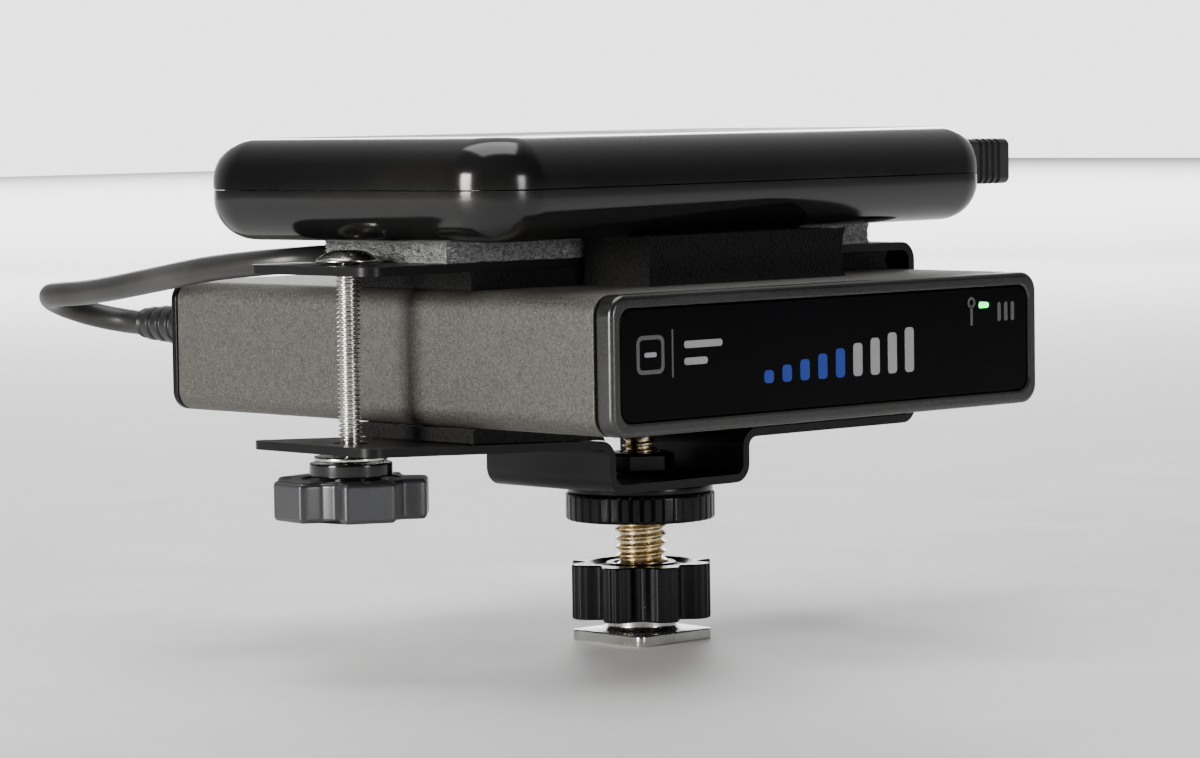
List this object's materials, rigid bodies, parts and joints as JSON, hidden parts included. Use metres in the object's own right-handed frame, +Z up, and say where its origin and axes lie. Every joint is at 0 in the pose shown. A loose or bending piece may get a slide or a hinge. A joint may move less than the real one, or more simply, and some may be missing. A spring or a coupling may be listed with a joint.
{
  "type": "camera-top wireless video unit",
  "caption": "Flat metal wireless video box held in a padded screw-clamp bracket on a threaded shoe stud, with a slab battery pack and its short power lead.",
  "frame": {"origin": "centre of the shoe foot's underside, on the stud's axis", "axes": "+X along the front panel from left to right, +Y from the front panel to the rear, +Z up the stud"},
  "size_m": [0.17, 0.1603, 0.0917],
  "materials": {
    "satin_grey_metal": "satin, fine metallic speckle",
    "bezel_metal": "satin",
    "gloss_black": "high gloss",
    "black_plastic": "moulded, fine grain",
    "black_paint": "semi-gloss powder coat, worn bright at the sheet's edges",
    "black_anodised": "black anodised, machined",
    "bright_steel": "bright plated, turned",
    "yellow_zinc": "yellow plated thread",
    "black_foam": "closed-cell foam, matt",
    "grey_hook_pad": "hook-and-loop pile",
    "board_green": "solder mask",
    "chip_black": "matt moulding",
    "socket_metal": "stamped and plated",
    "cell_foil": "foil pouch",
    "led_green": "lit lens",
    "lead_rubber": "soft matt sheath"
  },
  "bodies": {
    "foot": {"shoe_foot": "bright_steel", "stud": "yellow_zinc", "stud_nut": "black_anodised"},
    "star_nut": {"star_insert": "yellow_zinc"},
    "star": {"star_wheel": "black_anodised"},
    "ring_nut": {"lock_insert": "yellow_zinc"},
    "ring": {"lock_ring": "black_anodised"},
    "bracket": {"lower_bracket": "black_paint", "lower_liner_left": "black_foam", "lower_liner_right": "black_foam", "side_liner": "black_foam", "box_shell": "satin_grey_metal", "front_bezel": "bezel_metal", "front_panel": "gloss_black", "status_led": "led_green", "rear_panel": "black_anodised", "network_socket": "socket_metal", "video_out_socket": "socket_metal", "video_in_socket": "socket_metal", "service_socket": "socket_metal", "audio_socket": "black_plastic", "power_socket": "black_plastic", "rear_screw_1": "black_anodised", "rear_screw_2": "black_anodised", "rear_screw_3": "black_anodised", "rear_screw_4": "black_anodised", "main_board": "board_green", "processor_chip": "chip_black", "heat_sink": "black_anodised", "radio_module": "socket_metal", "left_antenna": "board_green", "right_antenna": "board_green", "standoff_1": "bright_steel", "standoff_2": "bright_steel", "standoff_3": "bright_steel", "standoff_4": "bright_steel", "dc_plug": "black_plastic", "dc_relief": "black_plastic", "bolt_washer": "bright_steel"},
    "knob": {"clamp_knob": "black_plastic", "knob_insert": "black_anodised"},
    "reset": {"reset_button": "black_plastic"},
    "jaw": {"upper_jaw": "black_paint", "upper_liner": "black_foam", "clamp_bolt": "bright_steel", "grip_pad": "grey_hook_pad", "foam_block": "black_foam", "pack_lower_shell": "gloss_black", "pack_upper_shell": "gloss_black", "battery_cell_1": "cell_foil", "battery_cell_2": "cell_foil", "charge_board": "board_green", "usb_out_socket": "socket_metal", "charge_socket": "socket_metal", "charge_window": "black_plastic", "usb_plug": "black_plastic", "power_lead": "lead_rubber"},
    "pack_key": {"power_button": "black_plastic"}
  },
  "joints": [
    {"name": "star_lift", "type": "slide", "parent": "foot", "child": "star_nut", "axis": [0, 0, 1], "range_m": [0, 0.00396]},
    {"name": "star_turn", "type": "hinge", "parent": "star_nut", "child": "star", "pos_m": [0, 0, 0.0092], "axis": [0, 0, 1], "range_deg": [0, 900]},
    {"name": "ring_lift", "type": "slide", "parent": "foot", "child": "ring_nut", "axis": [0, 0, -1], "range_m": [0, 0.00317]},
    {"name": "ring_turn", "type": "hinge", "parent": "ring_nut", "child": "ring", "pos_m": [0, 0, 0.0252], "axis": [0, 0, -1], "range_deg": [0, 720]},
    {"name": "pan", "type": "hinge", "parent": "foot", "child": "bracket", "pos_m": [0, 0, 0.0294], "axis": [0, 0, 1], "continuous": true},
    {"name": "clamp_turn", "type": "hinge", "parent": "bracket", "child": "knob", "pos_m": [-0.0682, 0, 0.0308], "axis": [0, 0, -1], "range_deg": [0, 1111]},
    {"name": "jaw_flex", "type": "hinge", "parent": "bracket", "child": "jaw", "pos_m": [0.05575, 0, 0.06435], "axis": [0, 1, 0], "range_deg": [0, 1.13], "deforming": ["power_lead"]},
    {"name": "reset_press", "type": "slide", "parent": "bracket", "child": "reset", "axis": [0, -1, 0], "range_m": [0, 0.0005], "stiffness_N_per_m": 300, "springref_m": -0.0005},
    {"name": "pack_key_press", "type": "slide", "parent": "jaw", "child": "pack_key", "axis": [-0.9925, -0.1219, 0], "range_m": [0, 0.0005], "stiffness_N_per_m": 300, "springref_m": -0.0005}
  ],
  "couplings": [
    {"joint": "star_turn", "follows": "star_lift", "rad_per_m": 3957.9},
    {"joint": "ring_turn", "follows": "ring_lift", "rad_per_m": 3957.9},
    {"joint": "clamp_turn", "follows": "jaw_flex", "ratio": 981.17}
  ]
}
